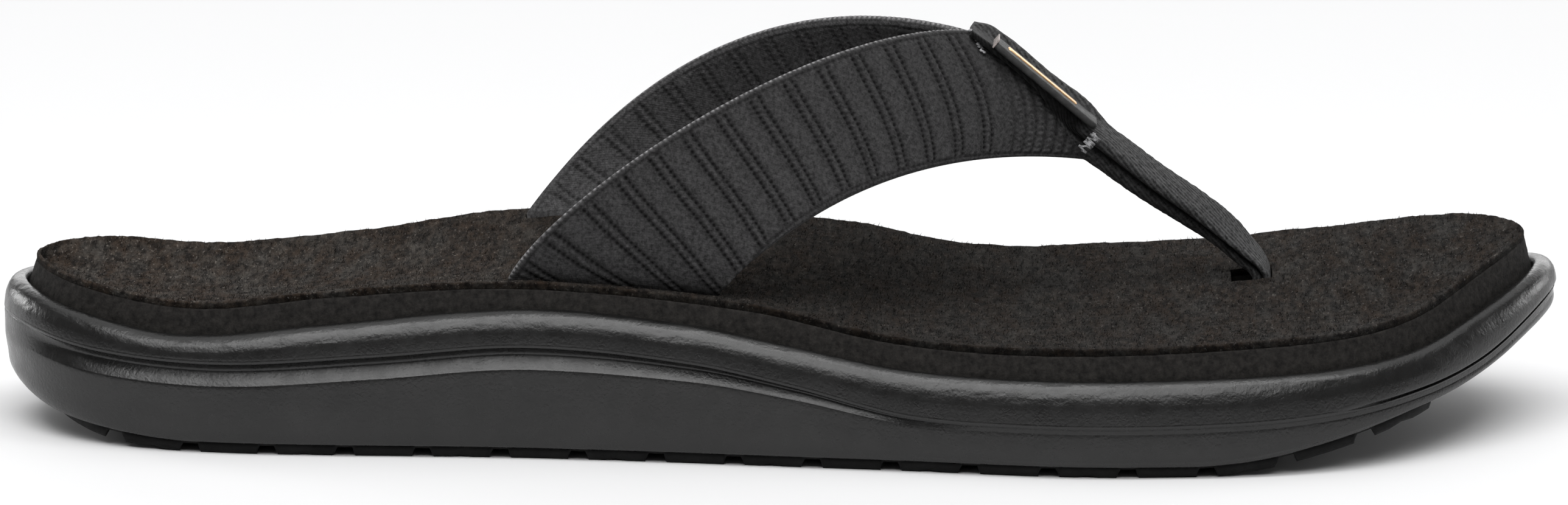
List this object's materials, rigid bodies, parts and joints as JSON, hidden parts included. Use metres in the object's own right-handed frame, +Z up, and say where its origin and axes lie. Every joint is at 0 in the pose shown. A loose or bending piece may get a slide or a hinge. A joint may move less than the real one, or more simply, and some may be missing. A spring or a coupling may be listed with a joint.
{
  "type": "flip flop",
  "caption": "Right-foot sport flip flop with a contoured foam sole, raised rim, lugged outsole, wide webbing straps and a toe post.",
  "frame": {"origin": "centre of the footprint's bounding box, on the ground under the sole", "axes": "+X towards the toe, +Y towards the inner side of the right foot, +Z up"},
  "size_m": [0.2636, 0.0926, 0.0677],
  "materials": {
    "outsole_rubber": "matte moulded rubber",
    "carrier_foam": "satin moulded foam skin with a fine grain",
    "footbed_foam": "matte cut foam",
    "cover_suede": "brushed nap, charcoal with pale specks",
    "webbing": "ribbed woven webbing",
    "lining": "soft knit",
    "twill_tape": "folded twill tape",
    "anchor_plastic": "moulded nylon",
    "thread": "bonded polyester thread",
    "label_rubber": "satin moulded rubber",
    "label_metal": "brushed copper tone"
  },
  "bodies": {
    "root": {"outsole": "outsole_rubber", "midsole": "carrier_foam", "footbed_foam": "footbed_foam", "footbed_cover": "cover_suede", "strap_lateral": "webbing", "strap_medial": "webbing", "vamp_lining": "lining", "toe_post": "twill_tape", "toe_post_anchor": "anchor_plastic", "anchor_plate_lateral": "anchor_plastic", "anchor_plate_medial": "anchor_plastic", "anchor_stitches_lateral": "thread", "anchor_stitches_medial": "thread", "label": "label_rubber", "label_inlay": "label_metal", "bartack_apex": "thread", "bartack_lateral": "thread", "bartack_medial": "thread"}
  },
  "joints": []
}
